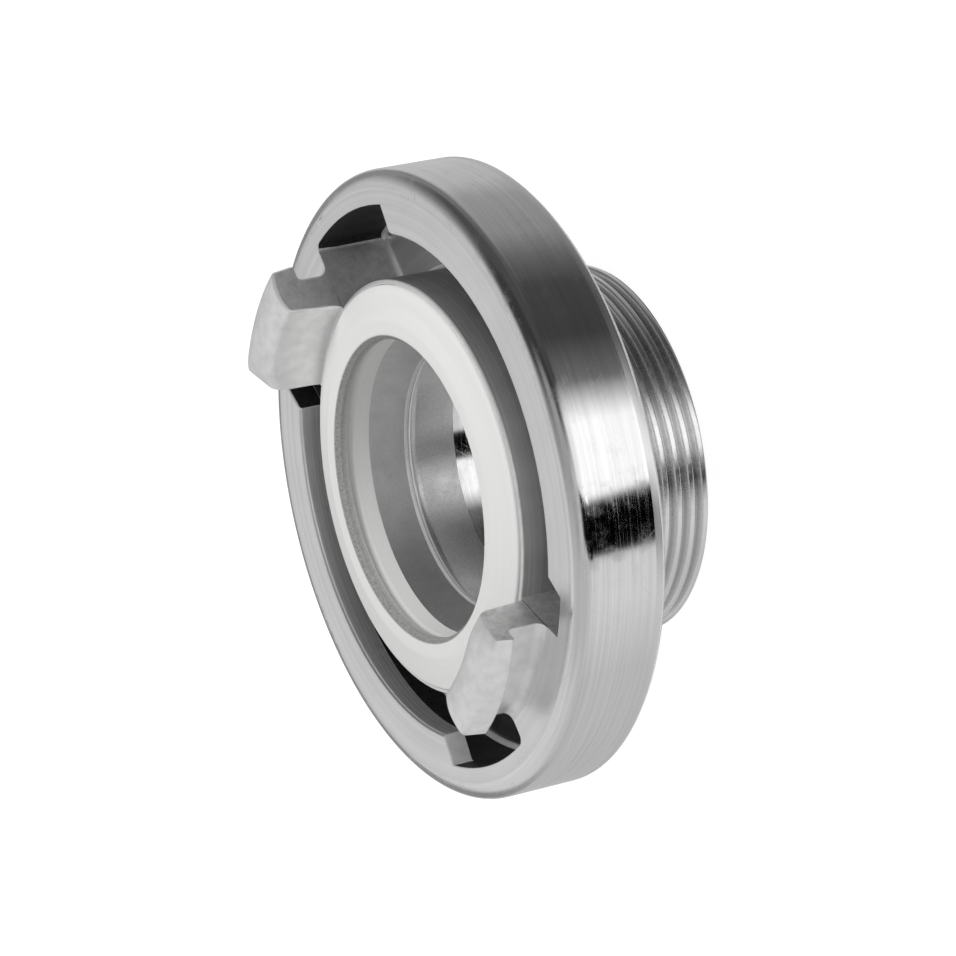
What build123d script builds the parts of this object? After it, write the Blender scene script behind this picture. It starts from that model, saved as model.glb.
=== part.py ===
from build123d import *
import math
import os

os.makedirs("parts", exist_ok=True)

# One half of a quarter turn hose coupling, in millimetres.
# The origin is the middle of the tail's end face, and +Z leaves through the two claws.
# Two identical halves face each other: each pair of claws drops into the other half's entry
# openings and a quarter turn draws its hooks along the ramp behind the other half's lip.

# Tail with the male pipe thread, modelled plain at the thread's outer diameter
thread_diameter = 59.614
tail_length = 20.5
tail_end_chamfer = 0.5

# Claws, with radii from the coupling's axis and heights above the collar's front face
claw_count = 2
claw_spacing = 66.6
claw_sweep = 30.8
shank_thickness = 6.2
hook_overhang = 2.6
hook_depth = 4.7
hook_ramp_rise = 0.9
hook_taper = 0.6
inner_face_draft = 0.6
crown_fall_inner = 0.9
crown_fall_outer = 0.6
crown_edge_radius = 1.0
claw_foot_radius = 1.5
tip_bevel_length = 4.8
tip_bevel_drop_inner = 2.0
tip_bevel_drop_outer = 0.7

# Lip that the other half's hooks draw up against
lip_thin_end = 3.6
lip_ramp_rise = 1.0
lip_edge_chamfer = 0.4
shank_to_lip_clearance = 0.5
hook_to_lip_clearance = 0.5

# Chamber behind the lip
hook_to_chamber_clearance = 2.5
claw_to_floor_clearance = 2.4
floor_thickness = 2.6
ring_wall = 5.4
collar_front_radius = 3.5
collar_back_chamfer = 0.6

# Entry openings and relief notches in the lip, in degrees round the axis
opening_sweep = 33.0
opening_lean = 3.2
opening_corner_radius = 1.2
notch_sweep = 8.7
notch_lean = 3.4
notch_wall = 6.0

# Waterway, from the seal pocket down to the tail's end
mouth_diameter = 48.2
throat_diameter = 42.4
mouth_cone_length = 5.2
throat_land = 0.8
throat_back_slope = 1.6
cast_bore_diameter = 47.8
bore_diameter = 48.8
machined_bore_depth = 15.5

# Boss inside the claws, flush with the collar's front face, and its seal pocket
boss_setback = 0.4
boss_rim = 0.75
recess_depth = 0.9
pocket_ledge = 1.65
pocket_depth = 3.5

# Elastomer face seal
seal_side_clearance = 0.3
seal_flange_gap = 0.15
seal_flange_thickness = 1.1
seal_height_above_front = 1.8
seal_lip_width = 2.2
seal_bore_diameter = 47.4
seal_bore_edge = 0.8
seal_groove_depth = 0.6
seal_groove_width = 1.6
seal_groove_below_crown = 2.0

# How near an edge or corner lies to the place it is looked for, and how far a cut runs past
match_distance = 0.01
overrun = 1.0

# Radii that follow from the sizes above
half_turn = 360.0 / claw_count
claw_radius = claw_spacing / 2
boss_radius = claw_radius - boss_setback
shank_radius = claw_radius + shank_thickness
hook_radius = shank_radius + hook_overhang
lip_radius = shank_radius + shank_to_lip_clearance
chamber_radius = hook_radius + hook_to_chamber_clearance
collar_radius = chamber_radius + ring_wall
notch_radius = collar_radius - notch_wall
recess_radius = boss_radius - boss_rim
pocket_radius = recess_radius - pocket_ledge

# Heights that follow from the sizes above
lip_thick_end = lip_thin_end + lip_ramp_rise
hook_rear_height = lip_thick_end + hook_to_lip_clearance
claw_height = hook_rear_height + hook_depth
chamber_depth = claw_height + claw_to_floor_clearance
floor_level = tail_length + floor_thickness
front_level = floor_level + chamber_depth
hook_rear_level = front_level + hook_rear_height
crown_level = front_level + claw_height
recess_level = front_level - recess_depth
pocket_level = recess_level - pocket_depth
throat_level = pocket_level - mouth_cone_length

# Angles that follow: the first opening is centred on +X, and its claw comes next round the axis
claw_start = opening_sweep / 2
claw_end = claw_start + claw_sweep
lip_start = claw_end + notch_sweep
next_opening_start = half_turn - opening_sweep / 2


def on_circle(radius, angle):
    """A point in plan at a radius and an angle in degrees."""
    return (radius * math.cos(math.radians(angle)), radius * math.sin(math.radians(angle)))


def sector(inner_radius, outer_radius, start_inner, start_outer, end_inner, end_outer):
    """A plan face between two arcs, whose end walls may lean from the radius."""
    inner_start = on_circle(inner_radius, start_inner)
    outer_start = on_circle(outer_radius, start_outer)
    outer_middle = on_circle(outer_radius, (start_outer + end_outer) / 2)
    outer_end = on_circle(outer_radius, end_outer)
    inner_end = on_circle(inner_radius, end_inner)
    inner_middle = on_circle(inner_radius, (start_inner + end_inner) / 2)
    outline = [
        Line(inner_start, outer_start),
        ThreePointArc(outer_start, outer_middle, outer_end),
        Line(outer_end, inner_end),
        ThreePointArc(inner_end, inner_middle, inner_start),
    ]
    return make_face(outline)


def between_levels(face, bottom, top):
    """A plan face raised into a solid between two heights."""
    return Pos(0, 0, bottom) * extrude(face, top - bottom)


def corner_at(face, x, y, z):
    """The corner of a face that lies at a point."""
    point = Vector(x, y, z)
    return face.vertices().filter_by(lambda corner: (Vector(corner) - point).length < match_distance)


def ring_edges(solid, radius, level):
    """The edges of a solid that run round the axis at a radius and a height."""
    def on_ring(edge):
        points = (edge @ 0, edge @ 0.5, edge @ 1)
        return all(
            abs(math.hypot(point.X, point.Y) - radius) < match_distance
            and abs(point.Z - level) < match_distance
            for point in points
        )
    return solid.edges().filter_by(on_ring)


def profile(points):
    """A closed outline of radius and height pairs, standing in the XZ plane."""
    return Plane.XZ * make_face(Polyline(*points, close=True))


def collar_and_tail():
    """The turned form: threaded tail, collar, boss with its seal pocket, and waterway."""
    tail_radius = thread_diameter / 2
    bore_radius = bore_diameter / 2
    throat_back_level = throat_level - throat_land
    cast_wall_level = throat_back_level - throat_back_slope
    outline = profile([
        (bore_radius, 0),
        (tail_radius - tail_end_chamfer, 0),
        (tail_radius, tail_end_chamfer),
        (tail_radius, tail_length),
        (collar_radius, tail_length),
        (collar_radius, front_level),
        (recess_radius, front_level),
        (recess_radius, recess_level),
        (pocket_radius, recess_level),
        (pocket_radius, pocket_level),
        (mouth_diameter / 2, pocket_level),
        (throat_diameter / 2, throat_level),
        (throat_diameter / 2, throat_back_level),
        (cast_bore_diameter / 2, cast_wall_level),
        (cast_bore_diameter / 2, machined_bore_depth),
        (bore_radius, machined_bore_depth),
    ])
    outline = chamfer(corner_at(outline, collar_radius, 0, tail_length), collar_back_chamfer)
    outline = fillet(corner_at(outline, collar_radius, 0, front_level), collar_front_radius)
    return revolve(outline, Axis.Z)


def ramp_plane(radius, start, end, start_level, end_level):
    """A plane that climbs from one height to another between two angles at a radius."""
    middle = math.radians((start + end) / 2)
    half_sweep = math.radians((end - start) / 2)
    slope = (end_level - start_level) / (2 * radius * math.sin(half_sweep))
    point = (radius * math.cos(middle), radius * math.sin(middle), (start_level + end_level) / 2)
    upward = (slope * math.sin(middle), -slope * math.cos(middle), 1)
    return Plane(origin=point, z_dir=upward)


def chamber():
    """What is cut away between one claw and the next: groove, chamber, opening and notch."""
    end = half_turn + claw_start
    groove = profile([
        (boss_radius, floor_level),
        (lip_radius, floor_level),
        (lip_radius, front_level - lip_edge_chamfer),
        (lip_radius + lip_edge_chamfer, front_level),
        (boss_radius, front_level),
    ])
    groove = Rot(0, 0, claw_end) * revolve(groove, Axis.Z, end - claw_end)
    claw_corner = (*on_circle(chamber_radius, end), 0)
    lip_underside = ramp_plane(
        (lip_radius + chamber_radius) / 2, lip_start, next_opening_start,
        front_level - lip_thick_end, front_level - lip_thin_end
    )
    behind_lip = sector(boss_radius, chamber_radius, claw_end, claw_end, end, end)
    behind_lip = fillet(corner_at(behind_lip, *claw_corner), opening_corner_radius)
    behind_lip = between_levels(behind_lip, floor_level, front_level)
    behind_lip = split(behind_lip, bisect_by=lip_underside, keep=Keep.BOTTOM)
    opening = sector(
        shank_radius, chamber_radius, next_opening_start - opening_lean, next_opening_start, end, end
    )
    opening = fillet(corner_at(opening, *claw_corner), opening_corner_radius)
    opening = between_levels(opening, floor_level, front_level)
    notch = sector(
        shank_radius, notch_radius, claw_end, claw_end, lip_start + notch_lean, lip_start
    )
    notch = between_levels(notch, floor_level, front_level)
    return groove + behind_lip + opening + notch


def under_hook():
    """What is cut away below a hook, up to its rear face that climbs toward the leading end."""
    hook_rear = ramp_plane(
        (shank_radius + hook_radius) / 2, claw_start, claw_end,
        hook_rear_level, hook_rear_level + hook_ramp_rise
    )
    start = claw_start - overrun
    end = claw_end + overrun
    space = sector(shank_radius, hook_radius + overrun, start, start, end, end)
    space = between_levels(space, front_level - overrun, crown_level)
    return split(space, bisect_by=hook_rear, keep=Keep.BOTTOM)


def tip_plane():
    """The bevel over the crown at a claw's leading end, deepest at the inner face."""
    outward = Vector(*on_circle(1, claw_end), 0)
    forward = Vector(*on_circle(1, claw_end + 90), 0)
    inner = outward * claw_radius + Vector(0, 0, crown_level - tip_bevel_drop_inner)
    outer = outward * hook_radius + Vector(0, 0, crown_level - tip_bevel_drop_outer)
    back = outward * claw_radius - forward * tip_bevel_length + Vector(0, 0, crown_level)
    return Plane(origin=inner, x_dir=outer - inner, z_dir=(outer - inner).cross(inner - back))


def claw():
    """A hooked claw on the collar's front face, beside the first opening."""
    inner_tip = (claw_radius + inner_face_draft, crown_level - crown_fall_inner)
    outer_tip = (hook_radius - hook_taper, crown_level - crown_fall_outer)
    top = ((inner_tip[0] + outer_tip[0]) / 2, crown_level)
    outline = Plane.XZ * make_face([
        Line((claw_radius, front_level), inner_tip),
        ThreePointArc(inner_tip, top, outer_tip),
        Polyline(
            outer_tip, (hook_radius, hook_rear_level), (hook_radius, front_level),
            (claw_radius, front_level)
        ),
    ])
    outline = fillet(corner_at(outline, inner_tip[0], 0, inner_tip[1]), crown_edge_radius)
    outline = fillet(corner_at(outline, outer_tip[0], 0, outer_tip[1]), crown_edge_radius)
    solid = Rot(0, 0, claw_start) * revolve(outline, Axis.Z, claw_sweep)
    solid = solid - under_hook()
    return split(solid, bisect_by=tip_plane(), keep=Keep.BOTTOM)


def coupling_body():
    """The cast and machined body in one piece."""
    body = collar_and_tail()
    for index in range(claw_count):
        turn = Rot(0, 0, index * half_turn)
        body = body - turn * chamber()
        body = body + turn * claw()
    return fillet(ring_edges(body, shank_radius, front_level), claw_foot_radius)


def face_seal():
    """The elastomer ring that stands proud of the front face."""
    flange_bottom = recess_level + seal_flange_gap
    flange_top = flange_bottom + seal_flange_thickness
    crown = front_level + seal_height_above_front
    foot_radius = pocket_radius - seal_side_clearance
    flange_radius = recess_radius - seal_side_clearance
    bore_radius = seal_bore_diameter / 2
    groove_top = crown - seal_groove_below_crown
    groove_bottom = groove_top - seal_groove_width
    groove_radius = bore_radius + seal_groove_depth
    outline = profile([
        (mouth_diameter / 2, pocket_level),
        (foot_radius, pocket_level),
        (foot_radius, flange_bottom),
        (flange_radius, flange_bottom),
        (flange_radius, flange_top),
        (bore_radius + seal_bore_edge + seal_lip_width, crown),
        (bore_radius + seal_bore_edge, crown),
        (bore_radius, crown - seal_bore_edge),
        (bore_radius, groove_top),
        (groove_radius, groove_top - seal_groove_depth),
        (groove_radius, groove_bottom + seal_groove_depth),
        (mouth_diameter / 2, groove_bottom),
    ])
    return revolve(outline, Axis.Z)


nodes = {
    "coupling_body": coupling_body(),
    "face_seal": face_seal(),
}

for name, solid in nodes.items():
    export_step(solid, f"parts/{name}.step")
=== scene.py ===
import math

import bmesh
import bpy
import numpy as np
from mathutils import Matrix, Vector


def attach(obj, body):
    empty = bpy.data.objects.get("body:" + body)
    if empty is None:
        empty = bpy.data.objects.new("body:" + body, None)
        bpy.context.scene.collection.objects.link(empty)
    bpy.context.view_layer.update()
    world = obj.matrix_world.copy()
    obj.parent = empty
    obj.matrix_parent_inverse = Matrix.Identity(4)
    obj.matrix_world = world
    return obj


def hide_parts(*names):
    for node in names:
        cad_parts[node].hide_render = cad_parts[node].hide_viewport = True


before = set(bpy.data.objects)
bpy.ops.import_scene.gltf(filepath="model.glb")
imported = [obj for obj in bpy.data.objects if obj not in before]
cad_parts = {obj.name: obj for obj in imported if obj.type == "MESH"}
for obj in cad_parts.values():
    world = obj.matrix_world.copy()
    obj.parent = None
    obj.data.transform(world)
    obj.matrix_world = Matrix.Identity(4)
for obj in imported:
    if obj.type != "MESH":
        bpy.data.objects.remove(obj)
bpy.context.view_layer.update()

MM = 0.001

# The photograph's viewpoint, with places in millimetres
CAMERA_LENS = 150.63
CAMERA_SENSOR = 36.0
CAMERA_PLACE = Vector((-63.541, -555.260, 311.329))
CAMERA_RIGHT = Vector((-0.256041, -0.420596, -0.870369))
CAMERA_UP = Vector((0.961433, -0.204363, -0.184074))

# Floor and lamp, in metres and watts
FLOOR_HALF_WIDTH = 3.0
FLOOR_GREY = 0.3
FLOOR_GLOW = 0.9
FLOOR_ROUGHNESS = 0.9
LAMP_PLACE = Vector((0.45, -0.35, 0.75))
LAMP_SIZE = 0.6
LAMP_POWER = 6.0

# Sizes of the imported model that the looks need, in millimetres
TAIL_RADIUS = 29.807
TAIL_LENGTH = 20.5
TAIL_END_CHAMFER = 0.5
BORE_END_RADIUS = 24.4
FRONT_LEVEL = 35.3
FLOOR_LEVEL = 23.1
COLLAR_RADIUS = 50.0
CHAMBER_RADIUS = 44.6
LIP_RADIUS = 40.0
SHANK_RADIUS = 39.5
CLAW_RADIUS = 33.3
BOSS_RADIUS = 32.9
SEAL_POCKET_RADIUS = 32.15
CAST_BORE_RADIUS = 23.9
MACHINED_BORE_LEVEL = 15.5
WATERWAY_THROAT_RADIUS = 21.2
THROAT_LEVEL = 25.0

# The collar's back edge is turned more roughly than its side
BACK_STRIP = 1.9

# The collar's front edge reaches and falls as far as this. It is a quarter circle in the packed
# model, and falls less in the photograph.
RIM_REACH = 3.5
RIM_FALL = 2.3

# Pipe thread, 11 threads per inch
THREAD_PITCH = 2.309
THREAD_DEPTH = 1.1
THREAD_ROOT_SHARE = 0.04
THREAD_FLANK_SHARE = 0.70
THREAD_FIRST_CREST = 1.1
THREAD_FIRST_CREST_ANGLE = 264.0
THREAD_LENGTH = 16.4
THREAD_RUN_OUT = 1.6
THREAD_CREST_DEPTH = 0.1
THREAD_STEPS_ROUND = 384
THREAD_STEPS_PER_PITCH = 14

# Claws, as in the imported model
CLAW_COUNT = 2
CLAW_START = 16.5
CLAW_END = 47.3
CLAW_HEIGHT = 9.8
HOOK_RADIUS = 42.1
HOOK_REAR = 5.1
HOOK_RAMP_RISE = 0.9
HOOK_TAPER = 0.6
INNER_FACE_DRAFT = 0.6
CROWN_FALL_INNER = 0.9
CROWN_FALL_OUTER = 0.6
FOOT_RADIUS = 1.5
TIP_LENGTH = 4.8
TIP_DROP_INNER = 2.0
TIP_DROP_OUTER = 0.7

# Round from an opening's middle, the notch beside the claw ends before this angle in degrees,
# and the next opening's lip end comes after it
NOTCH_LIMIT = 75.0

# Face seal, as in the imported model
SEAL_FOOT_BORE = 24.1
SEAL_FOOT_RADIUS = 30.2
SEAL_RADIUS = 32.1
SEAL_BORE_RADIUS = 23.7
SEAL_CROWN_RADIUS = 26.7
SEAL_GROOVE_RADIUS = 24.3
SEAL_FOOT_LEVEL = 30.9
SEAL_FLANGE_BOTTOM = 34.55
SEAL_FLANGE_TOP = 35.65
SEAL_CROWN_LEVEL = 37.1
SEAL_GROOVE_TOP = 35.1
SEAL_GROOVE_BOTTOM = 33.5
SEAL_GROOVE_DEPTH = 0.6
SEAL_BORE_EDGE = 0.8
SEAL_FLANGE_ROUNDING = 0.4
SEAL_CROWN_ROUNDING = 3.0
SEAL_EDGE_ROUNDING = 0.6
SEAL_BORE_ROUNDING = 0.5
SEAL_GROOVE_ROUNDING = 0.15
SEAL_FOOT_ROUNDING = 0.1
SEAL_STEPS_ROUND = 256

# Rounding of the claws' edges and of the corner between hook and shank
CROWN_EDGE_RADIUS = 1.0
HOOK_EDGE_RADIUS = 0.5
HOOK_THROAT_ROUNDING = 0.6
START_ROUNDING = 0.45
LEADING_END_ROUNDING = 0.15
TIP_BLEND = 0.9
TIP_CORNER_RADIUS = 1.3

# How far a claw's mesh reaches into the body, and the heights over which its ends' rounding and
# its hook's lift set in
SEAM_OVERLAP = 0.05
FADE_ABOVE_FOOT = 1.5
LIFT_FADE_BELOW_CROWN = 2.0

# How finely curves are drawn
OUTLINE_SPACING = 0.35
ARC_STEPS = 8
CROWN_POINTS = 13
CLAW_STEPS = 44
END_STEPS = 6
ROUNDING_STEPS = 3

# The share of the crown's half width that is domed, before its rounded edges
CROWN_REACH = 0.75

# Rounding of the body's other edges
LARGEST_ROUNDING = 0.8
FLOOR_FILLET = 0.7
LIP_END_ROUNDING = 0.25
THROAT_ROUNDING = 0.3
BOSS_RIM_ROUNDING = 0.3
MACHINED_ROUNDING = 0.15

# How far from a size a face or an edge may be and still belong to it, in millimetres
HAIR = 0.01
NEAR = 0.1
BESIDE = 0.3
CLEAR_OF_FRONT = 0.005

# Where the mesh is cut or merged, points closer than this count as one, in millimetres
BODY_MERGE_DISTANCE = 0.0005
SEAL_MERGE_DISTANCE = 0.001
FRONT_CUT_TOLERANCE = 0.001
BACK_CUT_TOLERANCE = 0.0001

# Shares of a direction that point along the axis or away from it, from almost all to a little
FLAT = 0.99
RADIAL = 0.7
FACING = 0.5
LEANING = 0.3

# Angles in degrees below which two places, two planes or two faces of a curve count as one
SAME_ANGLE = 1.0
SAME_PLANE_ANGLE = 0.3
BODY_CURVE_ANGLE = 28.0
SEAL_CURVE_ANGLE = 35.0

# Sockets of the mix node when it blends colours
MIX_FACTOR = 0
MIX_FIRST = 6
MIX_SECOND = 7
MIX_RESULT = 2

# Most values of a noise lie between these two
NOISE_LOW = 0.3
NOISE_HIGH = 0.7

# The turned side: its roughness, what marks add to it, and how its reflections streak
MACHINED_ROUGHNESS = 0.11
LINES_ROUGHNESS = 0.14
WEAR_ROUGHNESS = 0.12
SCRATCH_ROUGHNESS = 0.20
MACHINED_STREAKING = 0.8
QUARTER_TURN = 0.25

# The waterway's casting: grey by noise value for its specks, and how much clouds show over them
WATERWAY_SPECKS = ((0.0, 0.20), (0.30, 0.30), (0.38, 0.62), (0.64, 0.66), (0.70, 0.95))
CLOUD_SHARE = 0.35

# The seal's surface, and the level above which its bore is darkened with specks
SEAL_ROUGHNESS = 0.55
SEAL_BLUE_SHARE = 0.985
SEAL_DARKENING_LEVEL = 33.0


def new_object(name, data):
    """An object in the scene for a mesh, a lamp or a camera."""
    made = bpy.data.objects.new(name, data)
    bpy.context.scene.collection.objects.link(made)
    return made


def make_camera():
    """The photograph's viewpoint, a long lens that is rolled so that the axis lies level."""
    data = bpy.data.cameras.new("camera")
    data.lens = CAMERA_LENS
    data.sensor_width = CAMERA_SENSOR
    camera = new_object("camera", data)
    right = CAMERA_RIGHT.normalized()
    back = right.cross(CAMERA_UP.normalized()).normalized()
    up = back.cross(right)
    turn = Matrix((right, up, back)).transposed().to_4x4()
    camera.matrix_world = Matrix.Translation(CAMERA_PLACE * MM) @ turn
    bpy.context.scene.camera = camera


def node(tree, kind, inputs=None, **settings):
    """A shader node with its inputs set or linked, keyed by name or by index."""
    made = tree.nodes.new(kind)
    for key, value in settings.items():
        setattr(made, key, value)
    for key, value in (inputs or {}).items():
        if isinstance(value, bpy.types.NodeSocket):
            tree.links.new(value, made.inputs[key])
        else:
            made.inputs[key].default_value = value
    return made


def math_node(tree, operation, *values):
    """The result of a math node with the given values or links."""
    return node(tree, "ShaderNodeMath", dict(enumerate(values)), operation=operation).outputs[0]


def ramp(tree, factor, stops):
    """A ramp of greys, as pairs of position and value."""
    made = node(tree, "ShaderNodeValToRGB", {"Fac": factor})
    elements = made.color_ramp.elements
    while len(elements) < len(stops):
        elements.new(position=0.5)
    for element, (position, value) in zip(elements, stops):
        element.position = position
        element.color = (value, value, value, 1)
    return made.outputs["Color"]


def mixed(tree, factor, first, second):
    """A blend of two colours, of which the second may be a plain grey."""
    if isinstance(second, float):
        second = (second, second, second, 1)
    inputs = {MIX_FACTOR: factor, MIX_FIRST: first, MIX_SECOND: second}
    return node(tree, "ShaderNodeMix", inputs, data_type="RGBA").outputs[MIX_RESULT]


# Light from around the part, by compass direction in degrees from +X. Level with the part
# there is a bright window with a dark gap beside it, and higher up one side is dark. Each
# table holds for a band of heights, from below the part to almost overhead.
ROOM_LOW = (
    (-180.0, 0.55),
    (-150.0, 0.72),
    (-134.0, 0.72),
    (-131.5, 0.0),
    (-113.0, 0.0),
    (-110.0, 1.16),
    (-86.0, 1.16),
    (-72.0, 0.16),
    (-55.0, 0.05),
    (-33.0, 0.06),
    (-20.0, 0.14),
    (-8.0, 0.28),
    (16.0, 0.34),
    (28.0, 0.50),
    (60.0, 0.56),
    (110.0, 0.50),
    (180.0, 0.55),
)
ROOM_LEVEL = (
    (-180.0, 0.55),
    (-134.0, 0.72),
    (-131.5, 0.0),
    (-113.0, 0.0),
    (-110.0, 1.16),
    (-86.0, 1.16),
    (-72.0, 0.16),
    (-55.0, 0.05),
    (-8.0, 0.14),
    (40.0, 0.26),
    (112.0, 0.26),
    (150.0, 0.55),
    (180.0, 0.55),
)
ROOM_HIGH = (
    (-180.0, 0.56),
    (-134.0, 0.60),
    (-131.5, 0.0),
    (-113.0, 0.0),
    (-110.0, 0.90),
    (-84.0, 0.90),
    (-70.0, 0.06),
    (20.0, 0.08),
    (40.0, 0.20),
    (60.0, 0.50),
    (76.0, 0.66),
    (90.0, 0.70),
    (135.0, 0.62),
    (180.0, 0.56),
)
ROOM_TOP = (
    (-180.0, 0.50),
    (-110.0, 0.60),
    (-70.0, 0.04),
    (55.0, 0.04),
    (100.0, 0.50),
    (180.0, 0.50),
)
ROOM_PEAK = 1.16
OVERHEAD = 0.34
BACKDROP = 1.0

# Each change from one table to the next, by the heights of the direction where it starts and ends
ROOM_CHANGES = (
    (ROOM_LEVEL, -0.30, -0.10),
    (ROOM_HIGH, 0.14, 0.32),
    (ROOM_TOP, 0.70, 0.86),
)
OVERHEAD_CHANGE = (0.93, 0.99)


def room_by_direction(tree, turn, table):
    """The light of one of the tables, for a turn of 0 to 1 round the compass."""
    stops = [((degrees + 180) / 360, value / ROOM_PEAK) for degrees, value in table]
    around = ramp(tree, turn, stops)
    scaled = node(tree, "ShaderNodeVectorMath", {0: around, 1: (ROOM_PEAK,) * 3}, operation="MULTIPLY")
    return scaled.outputs[0]


def rise(tree, value, start, end):
    """A soft step from 0 to 1 between two values."""
    made = node(
        tree, "ShaderNodeMapRange", {"Value": value, "From Min": start, "From Max": end},
        interpolation_type="SMOOTHSTEP"
    )
    return made.outputs["Result"]


def make_world():
    """A soft studio whose bright and dark sides show in the machined metal."""
    world = bpy.data.worlds.new("studio")
    bpy.context.scene.world = world
    world.use_nodes = True
    tree = world.node_tree
    tree.nodes.clear()
    direction = node(tree, "ShaderNodeTexCoord").outputs["Generated"]
    parts = node(tree, "ShaderNodeSeparateXYZ", {0: direction})
    height = parts.outputs["Z"]
    angle = math_node(tree, "ARCTAN2", parts.outputs["Y"], parts.outputs["X"])
    turn = math_node(tree, "MULTIPLY_ADD", angle, 1 / (2 * math.pi), 0.5)
    room = room_by_direction(tree, turn, ROOM_LOW)
    for table, start, end in ROOM_CHANGES:
        room = mixed(tree, rise(tree, height, start, end), room, room_by_direction(tree, turn, table))
    room = mixed(tree, rise(tree, height, *OVERHEAD_CHANGE), room, OVERHEAD)
    seen = node(tree, "ShaderNodeLightPath").outputs["Is Camera Ray"]
    shown = mixed(tree, seen, room, BACKDROP)
    background = node(tree, "ShaderNodeBackground", {"Color": shown, "Strength": 1.0})
    node(tree, "ShaderNodeOutputWorld", {"Surface": background.outputs[0]})


def make_floor():
    """A plain pale floor, kept out of the metal's reflections, which show the studio instead."""
    mesh = bpy.data.meshes.new("floor")
    half = FLOOR_HALF_WIDTH
    corners = [(-half, -half, 0), (half, -half, 0), (half, half, 0), (-half, half, 0)]
    mesh.from_pydata(corners, [], [(0, 1, 2, 3)])
    floor = new_object("floor", mesh)
    material = bpy.data.materials.new("floor")
    material.use_nodes = True
    shader = material.node_tree.nodes["Principled BSDF"]
    shader.inputs["Base Color"].default_value = (FLOOR_GREY, FLOOR_GREY, FLOOR_GREY, 1)
    shader.inputs["Roughness"].default_value = FLOOR_ROUGHNESS
    shader.inputs["Emission Color"].default_value = (1, 1, 1, 1)
    shader.inputs["Emission Strength"].default_value = FLOOR_GLOW
    mesh.materials.append(material)
    floor.visible_glossy = False


def make_lamp():
    """A broad soft light on the front, which only matt surfaces pick up."""
    data = bpy.data.lights.new("soft_light", "AREA")
    data.shape = "DISK"
    data.size = LAMP_SIZE
    data.energy = LAMP_POWER
    lamp = new_object("soft_light", data)
    turn = LAMP_PLACE.to_track_quat("Z", "Y").to_matrix().to_4x4()
    lamp.matrix_world = Matrix.Translation(LAMP_PLACE) @ turn
    lamp.visible_glossy = False


def start_material(name):
    """A material with its node tree and its surface shader."""
    material = bpy.data.materials.new(name)
    material.use_nodes = True
    tree = material.node_tree
    return material, tree, tree.nodes["Principled BSDF"]


def start_metal(name, metallic=1.0):
    """A metal's material with its node tree and its surface shader."""
    material, tree, shader = start_material(name)
    shader.inputs["Metallic"].default_value = metallic
    return material, tree, shader


def link_surface(tree, shader, **values):
    """Feed a surface's colour, roughness and bumps into its shader."""
    sockets = {"color": "Base Color", "roughness": "Roughness", "normal": "Normal"}
    for key, value in values.items():
        tree.links.new(value, shader.inputs[sockets[key]])


def place_in_mm(tree):
    """The place on the part in millimetres, as a vector."""
    place = node(tree, "ShaderNodeTexCoord").outputs["Object"]
    return node(tree, "ShaderNodeVectorMath", {0: place, 1: (1 / MM,) * 3}, operation="MULTIPLY").outputs[0]


def parts_in_mm(tree):
    """The place on the part in millimetres, as x, y, z and the radius from the axis."""
    x, y, z = node(tree, "ShaderNodeSeparateXYZ", {0: place_in_mm(tree)}).outputs
    squares = math_node(tree, "ADD", math_node(tree, "MULTIPLY", x, x), math_node(tree, "MULTIPLY", y, y))
    return x, y, z, math_node(tree, "SQRT", squares)


def turning_marks(tree, density, drift, detail=3.0):
    """Noise drawn out round the axis, as a lathe leaves it: density per mm, drift round a turn."""
    x, y, z, radius = parts_in_mm(tree)
    across_x = math_node(tree, "MULTIPLY", math_node(tree, "DIVIDE", x, radius), drift)
    across_y = math_node(tree, "MULTIPLY", math_node(tree, "DIVIDE", y, radius), drift)
    along = math_node(tree, "MULTIPLY", z, density)
    out = math_node(tree, "MULTIPLY", radius, density)
    vector = node(tree, "ShaderNodeCombineXYZ", {0: across_x, 1: across_y, 2: along}).outputs[0]
    noise = node(
        tree, "ShaderNodeTexNoise", {"Vector": vector, "W": out, "Scale": 1.0, "Detail": detail},
        noise_dimensions="4D"
    )
    return noise.outputs["Fac"]


def grain(tree, density, detail=3.0, roughness=0.55):
    """Plain noise with the given number of features to a millimetre."""
    noise = node(
        tree, "ShaderNodeTexNoise",
        {"Vector": place_in_mm(tree), "Scale": density, "Detail": detail, "Roughness": roughness}
    )
    return noise.outputs["Fac"]


def bump(tree, height, depth, under=None):
    """A bump of a real depth in millimetres, over another one if that is given."""
    inputs = {"Height": height, "Distance": depth * MM, "Strength": 1.0}
    if under is not None:
        inputs["Normal"] = under
    return node(tree, "ShaderNodeBump", inputs).outputs[0]


def ranged(tree, value, start, end, low, high):
    """A value taken from one range to another, and held at its ends."""
    inputs = {"Value": value, "From Min": start, "From Max": end, "To Min": low, "To Max": high}
    return node(tree, "ShaderNodeMapRange", inputs).outputs["Result"]


def spread(tree, noise, low, high):
    """A noise value spread over a range."""
    return ranged(tree, noise, NOISE_LOW, NOISE_HIGH, low, high)


def grey(tree, value):
    """A grey colour of the given value."""
    return node(tree, "ShaderNodeCombineColor", {0: value, 1: value, 2: value}).outputs[0]


def greys(tree, noise, low, high):
    """Greys from dark to light, by a noise value."""
    return grey(tree, spread(tree, noise, low, high))


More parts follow.
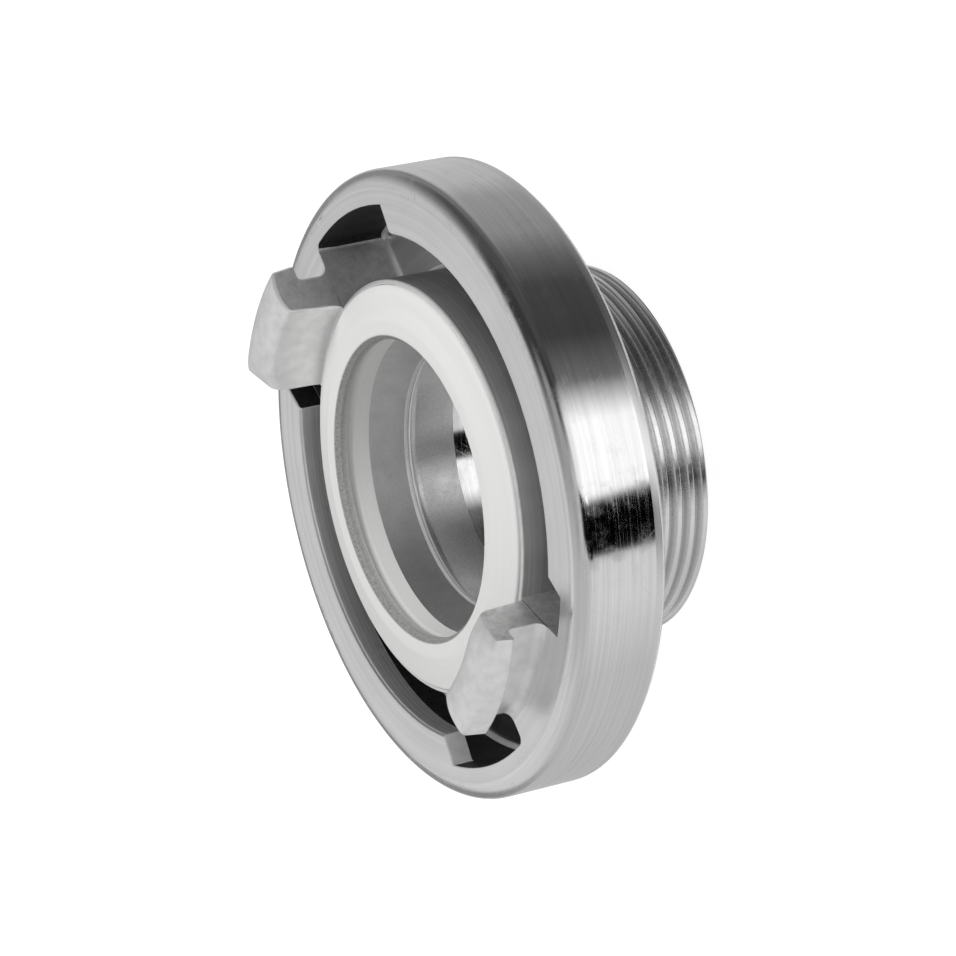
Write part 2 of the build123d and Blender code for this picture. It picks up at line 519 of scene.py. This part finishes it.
def scratches(tree, lean, length, gap):
    """Short straight scratches round the part at a slant, gathered in a few places."""
    x, y, z, radius = parts_in_mm(tree)
    around = math_node(tree, "MULTIPLY", math_node(tree, "ARCTAN2", y, x), radius)
    cosine, sine = math.cos(math.radians(lean)), math.sin(math.radians(lean))
    along = math_node(
        tree, "ADD", math_node(tree, "MULTIPLY", around, cosine / length),
        math_node(tree, "MULTIPLY", z, sine / length)
    )
    across = math_node(
        tree, "SUBTRACT", math_node(tree, "MULTIPLY", z, cosine / gap),
        math_node(tree, "MULTIPLY", around, sine / gap)
    )
    vector = node(tree, "ShaderNodeCombineXYZ", {0: along, 1: across}).outputs[0]
    noise = node(tree, "ShaderNodeTexNoise", {"Vector": vector, "Scale": 1.0, "Detail": 1.0})
    where = rise(tree, grain(tree, density=0.16, detail=2.0), start=0.50, end=0.62)
    lines = rise(tree, noise.outputs["Fac"], start=0.66, end=0.72)
    return math_node(tree, "MULTIPLY", lines, where)


def machined_material():
    """Bright turned aluminium, with tool marks round the axis, scratches and rubbed patches."""
    material, tree, shader = start_metal("machined_aluminium")
    shader.inputs["Anisotropic"].default_value = MACHINED_STREAKING
    shader.inputs["Anisotropic Rotation"].default_value = QUARTER_TURN
    tangent = node(tree, "ShaderNodeTangent", direction_type="RADIAL", axis="Z").outputs[0]
    tree.links.new(tangent, shader.inputs["Tangent"])
    fine = turning_marks(tree, density=7.0, drift=2.5)
    coarse = turning_marks(tree, density=1.6, drift=1.6)
    patches = grain(tree, density=0.35, detail=5.0, roughness=0.7)
    scratched = math_node(
        tree, "ADD", scratches(tree, lean=38.0, length=4.0, gap=0.30),
        scratches(tree, lean=-52.0, length=5.0, gap=0.35)
    )
    roughness = MACHINED_ROUGHNESS
    for mark, added in (
        (rise(tree, fine, start=0.50, end=0.70), LINES_ROUGHNESS),
        (rise(tree, patches, start=0.48, end=0.68), WEAR_ROUGHNESS),
        (scratched, SCRATCH_ROUGHNESS),
    ):
        roughness = math_node(tree, "ADD", roughness, math_node(tree, "MULTIPLY", mark, added))
    marks = bump(tree, fine, depth=0.004)
    link_surface(
        tree, shader,
        color=greys(tree, coarse, low=0.76, high=0.92),
        roughness=roughness,
        normal=bump(tree, coarse, depth=0.012, under=marks)
    )
    return material


def thread_material():
    """The cut thread, with painted shade: lighter on its crests and darker in its roots."""
    material, tree, shader = start_metal("thread_aluminium")
    radius = parts_in_mm(tree)[3]
    # Painted shade: the colour goes from light on the crests to dark in the roots
    shade = ranged(
        tree, radius, start=TAIL_RADIUS - THREAD_DEPTH, end=TAIL_RADIUS - THREAD_CREST_DEPTH,
        low=0.55, high=0.88
    )
    link_surface(
        tree, shader,
        color=grey(tree, shade),
        roughness=spread(tree, grain(tree, density=0.8, detail=4.0), low=0.20, high=0.30),
        normal=bump(tree, turning_marks(tree, density=5.0, drift=2.0), depth=0.004)
    )
    return material


def bore_wall_material():
    """The cast wall behind the throat, with a glossy but uneven skin."""
    material, tree, shader = start_metal("bore_wall_aluminium")
    fine = grain(tree, density=3.5, detail=5.0, roughness=0.7)
    cloud = grain(tree, density=0.5)
    link_surface(
        tree, shader,
        color=greys(tree, fine, low=0.52, high=0.74),
        roughness=spread(tree, cloud, low=0.30, high=0.40),
        normal=bump(tree, fine, depth=0.012)
    )
    return material


def faced_material():
    """The collar's faces, turned with a broad tool to a soft sheen with faint rings."""
    material, tree, shader = start_metal("faced_aluminium")
    fine = turning_marks(tree, density=6.0, drift=0.5)
    rings = turning_marks(tree, density=1.1, drift=0.3, detail=1.0)
    patches = grain(tree, density=0.09)
    lined = spread(tree, fine, low=0.30, high=0.38)
    worn = spread(tree, patches, low=-0.04, high=0.04)
    marks = bump(tree, fine, depth=0.003)
    link_surface(
        tree, shader,
        color=greys(tree, rings, low=0.80, high=0.92),
        roughness=math_node(tree, "ADD", lined, worn),
        normal=bump(tree, rings, depth=0.03, under=marks)
    )
    return material


def cast_material():
    """Blasted casting skin on the claws, on the lip's ends and along the rounded edges."""
    material, tree, shader = start_metal("cast_aluminium", metallic=0.7)
    fine = grain(tree, density=5.0)
    mottle = grain(tree, density=0.45, detail=4.0, roughness=0.6)
    skin = bump(tree, fine, depth=0.012)
    link_surface(
        tree, shader,
        color=greys(tree, mottle, low=0.84, high=0.97),
        roughness=spread(tree, mottle, low=0.52, high=0.42),
        normal=bump(tree, mottle, depth=0.05, under=skin)
    )
    return material


def end_cast_material():
    """The dull grey skin on the claws' ends and the walls below them."""
    material, tree, shader = start_metal("end_cast_aluminium", metallic=0.88)
    fine = grain(tree, density=4.0, detail=4.0, roughness=0.65)
    mottle = grain(tree, density=0.6, detail=5.0, roughness=0.65)
    skin = bump(tree, fine, depth=0.03)
    link_surface(
        tree, shader,
        color=greys(tree, mottle, low=0.72, high=1.0),
        roughness=spread(tree, mottle, low=0.62, high=0.48),
        normal=bump(tree, mottle, depth=0.12, under=skin)
    )
    return material


def dulled_material():
    """The walls of the groove, turned and then dulled to an even grey."""
    material, tree, shader = start_metal("dulled_aluminium")
    rings = turning_marks(tree, density=3.0, drift=1.0)
    link_surface(
        tree, shader,
        color=greys(tree, rings, low=0.72, high=0.92),
        roughness=spread(tree, grain(tree, density=1.2), low=0.56, high=0.68),
        normal=bump(tree, rings, depth=0.02)
    )
    return material


def rough_cast_material():
    """The chamber's unworked casting: darker, pitted and uneven."""
    material, tree, shader = start_metal("rough_cast_aluminium")
    fine = grain(tree, density=2.2, detail=5.0, roughness=0.7)
    lumps = grain(tree, density=0.6, detail=4.0, roughness=0.6)
    skin = bump(tree, fine, depth=0.14)
    link_surface(
        tree, shader,
        color=greys(tree, fine, low=0.45, high=1.0),
        roughness=spread(tree, lumps, low=0.36, high=0.56),
        normal=bump(tree, lumps, depth=0.30, under=skin)
    )
    return material


def painted_shade_cast_material():
    """The chamber's outer wall and the notch, painted near black as painted shade for their hollows."""
    material, tree, shader = start_metal("painted_shade_cast_aluminium")
    fine = grain(tree, density=3.0, detail=4.0, roughness=0.65)
    link_surface(
        tree, shader,
        # Painted shade: near-black colour in place of the shade inside the chamber and the notch
        color=greys(tree, fine, low=0.03, high=0.10),
        roughness=spread(tree, fine, low=0.45, high=0.6),
        normal=bump(tree, fine, depth=0.06)
    )
    return material


def waterway_material():
    """The cast mouth of the waterway, dull and grey with small bright and dark specks."""
    material, tree, shader = start_metal("waterway_casting")
    fine = grain(tree, density=2.4, detail=4.0, roughness=0.7)
    cloud = grain(tree, density=0.35)
    specks = ramp(tree, fine, WATERWAY_SPECKS)
    link_surface(
        tree, shader,
        color=mixed(tree, CLOUD_SHARE, specks, greys(tree, cloud, low=0.55, high=0.75)),
        roughness=spread(tree, fine, low=0.5, high=0.65),
        normal=bump(tree, fine, depth=0.05)
    )
    return material


def seal_material():
    """Matt white moulded elastomer with faint marks round it, darker with specks in its bore towards the
    crown.
    """
    material, tree, shader = start_material("white_elastomer")
    shader.inputs["Roughness"].default_value = SEAL_ROUGHNESS
    rings = turning_marks(tree, density=0.9, drift=0.9, detail=2.0)
    level, radius = parts_in_mm(tree)[2:]
    outside_bore = rise(tree, radius, start=SEAL_GROOVE_RADIUS, end=SEAL_GROOVE_RADIUS + BESIDE)
    in_bore = math_node(tree, "SUBTRACT", 1.0, outside_bore)
    speckles = spread(tree, grain(tree, density=2.6, detail=4.0, roughness=0.7), low=0.50, high=0.80)
    speckled = math_node(tree, "MULTIPLY", in_bore, speckles)
    # The bore is darkened with specks, more towards the crown
    band = rise(tree, level, start=SEAL_DARKENING_LEVEL, end=SEAL_CROWN_LEVEL)
    undarkened = math_node(tree, "SUBTRACT", 1.0, math_node(tree, "MULTIPLY", speckled, band))
    value = math_node(tree, "MULTIPLY", spread(tree, rings, low=0.81, high=0.84), undarkened)
    blue = math_node(tree, "MULTIPLY", value, SEAL_BLUE_SHARE)
    skin = bump(tree, grain(tree, density=4.0), depth=0.006)
    link_surface(
        tree, shader,
        color=node(tree, "ShaderNodeCombineColor", {0: value, 1: value, 2: blue}).outputs[0],
        normal=bump(tree, rings, depth=0.012, under=skin)
    )
    return material


def lathe(bm, rows, steps):
    """Rings of vertices joined into a skin: rows of radius and height arrays, in millimetres."""
    angles = np.arange(steps) * 2 * math.pi / steps
    rings = []
    for radius, level in rows:
        radii = np.broadcast_to(radius, steps)
        rings.append([
            bm.verts.new((r * math.cos(a) * MM, r * math.sin(a) * MM, level * MM))
            for r, a in zip(radii, angles)
        ])
    faces = []
    for ring, following in zip(rings, rings[1:]):
        for index in range(steps):
            after = (index + 1) % steps
            faces.append(bm.faces.new((ring[index], ring[after], following[after], following[index])))
    return faces


def thread_profile(phase):
    """How far the thread has risen from its root to its crest, from 0 to 1, both rounded."""
    climb = 1 - 2 * np.abs(phase - np.round(phase))
    climb = np.clip((climb - THREAD_ROOT_SHARE) / THREAD_FLANK_SHARE, 0, 1)
    return climb * climb * (3 - 2 * climb)


def thread_rows():
    """Rings down the threaded tail, from the shoulder to the end and in across the end face."""
    angles = np.arange(THREAD_STEPS_ROUND) * 2 * math.pi / THREAD_STEPS_ROUND
    turns = (angles - math.radians(THREAD_FIRST_CREST_ANGLE)) / (2 * math.pi)
    root = TAIL_RADIUS - THREAD_DEPTH
    rows = [(TAIL_RADIUS, TAIL_LENGTH), (root, TAIL_LENGTH), (root, THREAD_LENGTH + THREAD_RUN_OUT)]
    count = round(THREAD_LENGTH / THREAD_PITCH * THREAD_STEPS_PER_PITCH)
    for index in range(count + 1):
        level = THREAD_LENGTH * (1 - index / count)
        phase = (level - THREAD_FIRST_CREST) / THREAD_PITCH - turns
        fade = min(1.0, (THREAD_LENGTH - level) / THREAD_RUN_OUT)
        radius = root + THREAD_DEPTH * fade * thread_profile(phase)
        rows.append((np.minimum(radius, TAIL_RADIUS - TAIL_END_CHAMFER + level), level))
    rows.append((BORE_END_RADIUS, 0.0))
    return rows


def rounded_outline(corners):
    """Points along an open line of (x, y, radius) corners, with each corner rounded off."""
    points = [np.array(corners[0][:2])]
    for before, corner, after in zip(corners, corners[1:], corners[2:]):
        here, rounding = np.array(corner[:2]), corner[2]
        if not rounding:
            points.append(here)
            continue
        back = np.array(before[:2]) - here
        ahead = np.array(after[:2]) - here
        back, ahead = back / np.linalg.norm(back), ahead / np.linalg.norm(ahead)
        half = math.acos(np.clip(back @ ahead, -1, 1)) / 2
        toward_centre = (back + ahead) / np.linalg.norm(back + ahead)
        centre = here + toward_centre * rounding / math.sin(half)
        start = here + back * rounding / math.tan(half) - centre
        sweep = math.copysign(math.pi - 2 * half, start[1] * back[0] - start[0] * back[1])
        for step in range(ARC_STEPS + 1):
            cosine, sine = math.cos(sweep * step / ARC_STEPS), math.sin(sweep * step / ARC_STEPS)
            turned = (start[0] * cosine - start[1] * sine, start[0] * sine + start[1] * cosine)
            points.append(centre + turned)
    points.append(np.array(corners[-1][:2]))
    filled = [points[0]]
    for point in points[1:]:
        start = filled[-1]
        count = max(1, round(np.linalg.norm(point - start) / OUTLINE_SPACING))
        filled += [start + (point - start) * (index + 1) / count for index in range(count)]
    return np.array(filled)


def claw_section():
    """Radius and height above the front face round a claw's section, at its lowest hook."""
    inner_tip = (CLAW_RADIUS + INNER_FACE_DRAFT, CLAW_HEIGHT - CROWN_FALL_INNER)
    outer_tip = (HOOK_RADIUS - HOOK_TAPER, CLAW_HEIGHT - CROWN_FALL_OUTER)
    middle = (inner_tip[0] + outer_tip[0]) / 2
    crown = []
    for reach in np.linspace(-CROWN_REACH, CROWN_REACH, CROWN_POINTS):
        fall = CROWN_FALL_INNER if reach < 0 else CROWN_FALL_OUTER
        crown.append((middle + (outer_tip[0] - middle) * reach, CLAW_HEIGHT - fall * reach * reach, 0))
    return rounded_outline([
        (CLAW_RADIUS, -SEAM_OVERLAP, 0),
        (*inner_tip, CROWN_EDGE_RADIUS),
        *crown,
        (*outer_tip, CROWN_EDGE_RADIUS),
        (HOOK_RADIUS, HOOK_REAR, HOOK_EDGE_RADIUS),
        (SHANK_RADIUS, HOOK_REAR, HOOK_THROAT_ROUNDING),
        (SHANK_RADIUS, 0, FOOT_RADIUS),
        (SHANK_RADIUS + FOOT_RADIUS + HAIR, 0, 0),
    ])


def lift_hook(radius, height, angle):
    """Heights round a claw's section, with the hook's rear lifted by its ramp."""
    lift = HOOK_RAMP_RISE * (angle - CLAW_START) / (CLAW_END - CLAW_START)
    crown_edge = CLAW_HEIGHT - CROWN_FALL_OUTER - CROWN_EDGE_RADIUS
    below_crown = np.clip((crown_edge - height) / LIFT_FADE_BELOW_CROWN, 0, 1)
    above_foot = np.clip((height - FOOT_RADIUS) / FADE_ABOVE_FOOT, 0, 1)
    on_hook_side = radius > (CLAW_RADIUS + SHANK_RADIUS) / 2
    return height + np.where(on_hook_side, lift * below_crown * above_foot, 0)


def bevel_tip(radius, height, angle):
    """Heights round a claw's section, kept under the slope at its tip with a soft edge."""
    behind = math.radians(CLAW_END - angle) * radius
    inward = (HOOK_RADIUS - radius) / (HOOK_RADIUS - CLAW_RADIUS)
    slope = CLAW_HEIGHT - TIP_DROP_OUTER - inward * (TIP_DROP_INNER - TIP_DROP_OUTER)
    slope = slope + behind * TIP_DROP_INNER / TIP_LENGTH
    inner_face = CLAW_RADIUS + INNER_FACE_DRAFT * height / CLAW_HEIGHT
    from_inner = np.clip(radius - inner_face, 0, TIP_CORNER_RADIUS)
    corner = np.sqrt(TIP_CORNER_RADIUS ** 2 - (TIP_CORNER_RADIUS - from_inner) ** 2)
    slope = slope - TIP_CORNER_RADIUS + corner
    blend = np.clip(1 - np.abs(height - slope) / TIP_BLEND, 0, 1)
    return np.minimum(height, slope) - blend * blend * TIP_BLEND / 4


def claw_ring(section, angle, inset):
    """A claw's section at an angle, drawn in by the inset where the claw's end is rounded."""
    radius = section[:, 0]
    height = bevel_tip(radius, lift_hook(radius, section[:, 1], angle), angle)
    along = np.gradient(np.stack([radius, height], 1), axis=0)
    along = along / np.linalg.norm(along, axis=1, keepdims=True)
    depth = inset * np.clip(height / FADE_ABOVE_FOOT, 0, 1)
    radius = radius + along[:, 1] * depth
    height = height - along[:, 0] * depth
    x, y = radius * math.cos(math.radians(angle)), radius * math.sin(math.radians(angle))
    return np.stack([x, y, height + FRONT_LEVEL], 1) * MM


def add_claw(bm, turn):
    """One hooked claw with rounded edges, standing on the front face."""
    section = claw_section()
    per_mm = math.degrees(1 / ((CLAW_RADIUS + HOOK_RADIUS) / 2))
    quarter = [math.pi / 2 * step / END_STEPS for step in range(END_STEPS + 1)]
    stations = [(1 - math.cos(turned), 1 - math.sin(turned)) for turned in quarter]
    start = [
        (CLAW_START + back * START_ROUNDING * per_mm, inset * START_ROUNDING)
        for back, inset in stations
    ]
    end = [
        (CLAW_END - back * LEADING_END_ROUNDING * per_mm, inset * LEADING_END_ROUNDING)
        for back, inset in reversed(stations)
    ]
    low, high = start[-1][0], end[0][0]
    middle = [(low + (high - low) * index / CLAW_STEPS, 0.0) for index in range(1, CLAW_STEPS)]
    spun = Matrix.Rotation(math.radians(turn), 3, "Z")
    rings = []
    for angle, inset in start + middle + end:
        ring = claw_ring(section, angle, inset)
        rings.append([bm.verts.new(spun @ Vector(point)) for point in ring])
    faces = []
    for ring, following in zip(rings, rings[1:]):
        for index in range(len(ring) - 1):
            faces.append(bm.faces.new((ring[index], following[index], following[index + 1], ring[index + 1])))
    ends = [bm.faces.new(rings[0]), bm.faces.new(reversed(rings[-1]))]
    return faces, ends


def make_seal(material):
    """The face seal with its moulded edges rounded."""
    outline = rounded_outline([
        (SEAL_FOOT_BORE, SEAL_FOOT_LEVEL, 0),
        (SEAL_FOOT_RADIUS, SEAL_FOOT_LEVEL, 0),
        (SEAL_FOOT_RADIUS, SEAL_FLANGE_BOTTOM, 0),
        (SEAL_RADIUS, SEAL_FLANGE_BOTTOM, 0),
        (SEAL_RADIUS, SEAL_FLANGE_TOP, SEAL_FLANGE_ROUNDING),
        (SEAL_CROWN_RADIUS, SEAL_CROWN_LEVEL, SEAL_CROWN_ROUNDING),
        (SEAL_BORE_RADIUS + SEAL_BORE_EDGE, SEAL_CROWN_LEVEL, SEAL_EDGE_ROUNDING),
        (SEAL_BORE_RADIUS, SEAL_CROWN_LEVEL - SEAL_BORE_EDGE, SEAL_BORE_ROUNDING),
        (SEAL_BORE_RADIUS, SEAL_GROOVE_TOP, SEAL_GROOVE_ROUNDING),
        (SEAL_GROOVE_RADIUS, SEAL_GROOVE_TOP - SEAL_GROOVE_DEPTH, SEAL_GROOVE_ROUNDING),
        (SEAL_GROOVE_RADIUS, SEAL_GROOVE_BOTTOM + SEAL_GROOVE_DEPTH, SEAL_GROOVE_ROUNDING),
        (SEAL_FOOT_BORE, SEAL_GROOVE_BOTTOM, SEAL_FOOT_ROUNDING),
        (SEAL_FOOT_BORE, SEAL_FOOT_LEVEL, 0),
    ])
    bm = bmesh.new()
    for face in lathe(bm, outline, SEAL_STEPS_ROUND):
        face.smooth = True
    bmesh.ops.remove_doubles(bm, verts=bm.verts, dist=SEAL_MERGE_DISTANCE * MM)
    for edge in bm.edges:
        edge.smooth = edge.calc_face_angle(0) < math.radians(SEAL_CURVE_ANGLE)
    mesh = bpy.data.meshes.new("face_seal_look")
    bm.to_mesh(mesh)
    bm.free()
    mesh.materials.append(material)
    seal = new_object("face_seal_look", mesh)
    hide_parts("face_seal")
    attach(seal, "root")


def face_place(face):
    """A face's radius and height in millimetres, and its normal's outward and upward parts."""
    centre = face.calc_center_median() / MM
    radius = math.hypot(centre.x, centre.y)
    outward = (face.normal.x * centre.x + face.normal.y * centre.y) / radius
    return radius, centre.z, outward, face.normal.z


def angle_from_opening(place):
    """How far a place lies round from the middle of the opening before it, in degrees."""
    return math.degrees(math.atan2(place.y, place.x)) % (360 / CLAW_COUNT)


def at_claw_end(place):
    """Whether a place lies in the plane of one of the claws' ends."""
    angle = angle_from_opening(place)
    return min(abs(angle - CLAW_START), abs(angle - CLAW_END)) < SAME_ANGLE


def end_wall_zone(place):
    """The finish of a wall that stands across the groove: a claw's end, the notch or the lip's end."""
    if at_claw_end(place):
        return "end_cast"
    # The notch walls get the near-black painted shade
    if angle_from_opening(place) < NOTCH_LIMIT:
        return "dark_cast"
    return "cast"


def body_zone(face):
    """Which finish a face of the body has."""
    radius, level, outward, upward = face_place(face)
    if abs(upward) > FLAT and (level > FRONT_LEVEL - NEAR or abs(level - TAIL_LENGTH) < NEAR):
        return "faced"
    if radius > CHAMBER_RADIUS + BESIDE:
        return "machined" if level > TAIL_LENGTH + BACK_STRIP else "faced"
    if radius > SEAL_POCKET_RADIUS + BESIDE and level > FLOOR_LEVEL - NEAR:
        if outward < -FACING:
            # The chamber's outer wall gets the near-black painted shade
            return "dulled" if radius < LIP_RADIUS + BESIDE else "dark_cast"
        if outward > FACING and radius < BOSS_RADIUS + NEAR:
            return "dulled"
        if abs(outward) < FACING and abs(upward) < LEANING:
            return end_wall_zone(face.calc_center_median())
        return "rough_cast"
    if radius > CAST_BORE_RADIUS + BESIDE and level > TAIL_LENGTH:
        return "faced"
    if level > THROAT_LEVEL:
        return "waterway"
    if level > MACHINED_BORE_LEVEL - NEAR:
        return "bore_wall"
    return "machined"


def edge_rounding(edge):
    """How much an edge of the body is rounded, in millimetres."""
    if len(edge.link_faces) != 2 or edge.calc_face_angle(0) < math.radians(BODY_CURVE_ANGLE):
        return 0.0
    middle = (edge.verts[0].co + edge.verts[1].co) / 2
    level = middle.z / MM
    radius = math.hypot(middle.x, middle.y) / MM
    along = (edge.verts[1].co - edge.verts[0].co).normalized()
    radial = abs(along.x * middle.x + along.y * middle.y) / (radius * MM) > RADIAL
    if radius < WATERWAY_THROAT_RADIUS + BESIDE:
        return THROAT_ROUNDING
    if radius < SEAL_POCKET_RADIUS - NEAR:
        return 0.0
    if radius < BOSS_RADIUS + NEAR and level > FRONT_LEVEL - NEAR:
        return BOSS_RIM_ROUNDING
    if radius < CHAMBER_RADIUS + BESIDE and abs(level - FLOOR_LEVEL) < NEAR:
        return FLOOR_FILLET
    if radial and level > FRONT_LEVEL - NEAR and not at_claw_end(middle):
        return LIP_END_ROUNDING
    return MACHINED_ROUNDING


def cut_at(bm, level, tolerance):
    """Split the faces that cross a level, so that each lies above or below it."""
    bmesh.ops.bisect_plane(
        bm, geom=bm.verts[:] + bm.edges[:] + bm.faces[:], dist=tolerance * MM,
        plane_co=(0, 0, level * MM), plane_no=(0, 0, 1)
    )


def bare_casting():
    """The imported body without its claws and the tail's outside, cut where its finishes change."""
    bm = bmesh.new()
    bm.from_mesh(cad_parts["coupling_body"].data)
    bmesh.ops.remove_doubles(bm, verts=bm.verts, dist=BODY_MERGE_DISTANCE * MM)
    tail = []
    for face in bm.faces:
        radius, level = face_place(face)[:2]
        if radius > BORE_END_RADIUS + NEAR and level < TAIL_LENGTH - NEAR:
            tail.append(face)
    bmesh.ops.delete(bm, geom=tail, context="FACES")
    cut_at(bm, FRONT_LEVEL, FRONT_CUT_TOLERANCE)
    claws = [face for face in bm.faces if face_place(face)[1] > FRONT_LEVEL + CLEAR_OF_FRONT]
    bmesh.ops.delete(bm, geom=claws, context="FACES")
    bmesh.ops.dissolve_limit(
        bm, angle_limit=math.radians(SAME_PLANE_ANGLE), verts=bm.verts, edges=bm.edges,
        delimit={"NORMAL"}
    )
    cut_at(bm, TAIL_LENGTH + BACK_STRIP, BACK_CUT_TOLERANCE)
    return bm


def finish_faces(bm, zones):
    """Give each face of the casting its finish, and shade the curved ones smooth."""
    for face in bm.faces:
        outward, upward = face_place(face)[2:]
        face.smooth = abs(outward) > LEANING or LEANING < abs(upward) < FLAT
        face.material_index = zones.index(body_zone(face))


def weigh_edges(bm):
    """Note in the mesh how much each edge is to be rounded."""
    weight = bm.edges.layers.float.new("bevel_weight_edge")
    for edge in bm.edges:
        edge[weight] = edge_rounding(edge) / LARGEST_ROUNDING


def flatten_rim(bm):
    """Make the collar's round front edge fall less along the axis, as the photograph shows."""
    for vert in bm.verts:
        fall = FRONT_LEVEL - vert.co.z / MM
        radius = math.hypot(vert.co.x, vert.co.y) / MM
        if radius > COLLAR_RADIUS - RIM_REACH + HAIR and fall < RIM_REACH + HAIR:
            vert.co.z = (FRONT_LEVEL - fall * RIM_FALL / RIM_REACH) * MM


def add_threaded_tail(bm, zones):
    """The tail's outside with its thread, and its flat end."""
    for face in lathe(bm, thread_rows(), THREAD_STEPS_ROUND):
        face.smooth = True
        face.material_index = zones.index("thread")
        face.normal_flip()


def add_claws(bm, zones):
    """Both claws, with blasted sides and dull ends."""
    for index in range(CLAW_COUNT):
        sides, ends = add_claw(bm, index * 360 / CLAW_COUNT)
        for face in sides:
            face.smooth = True
            face.material_index = zones.index("cast")
        for face in ends:
            face.material_index = zones.index("end_cast")


def round_edges(body, zones):
    """Round the edges that have been given a weight."""
    rounding = body.modifiers.new("edge_rounding", "BEVEL")
    rounding.limit_method = "WEIGHT"
    rounding.width = LARGEST_ROUNDING * MM
    rounding.segments = ROUNDING_STEPS
    rounding.material = zones.index("cast")
    rounding.use_clamp_overlap = False
    rounding.harden_normals = True


def make_body(materials):
    """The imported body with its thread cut, its edges rounded and a finish for each surface."""
    zones = sorted(materials)
    bm = bare_casting()
    finish_faces(bm, zones)
    weigh_edges(bm)
    flatten_rim(bm)
    add_threaded_tail(bm, zones)
    add_claws(bm, zones)
    mesh = bpy.data.meshes.new("coupling_body_look")
    bm.to_mesh(mesh)
    bm.free()
    for zone in zones:
        mesh.materials.append(materials[zone])
    body = new_object("coupling_body_look", mesh)
    round_edges(body, zones)
    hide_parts("coupling_body")
    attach(body, "root")


make_camera()
make_world()
make_floor()
make_lamp()
bpy.context.scene.view_settings.view_transform = "Standard"

make_body({
    "machined": machined_material(),
    "faced": faced_material(),
    "cast": cast_material(),
    "end_cast": end_cast_material(),
    "dulled": dulled_material(),
    "thread": thread_material(),
    "bore_wall": bore_wall_material(),
    "rough_cast": rough_cast_material(),
    "dark_cast": painted_shade_cast_material(),
    "waterway": waterway_material(),
})

make_seal(seal_material())
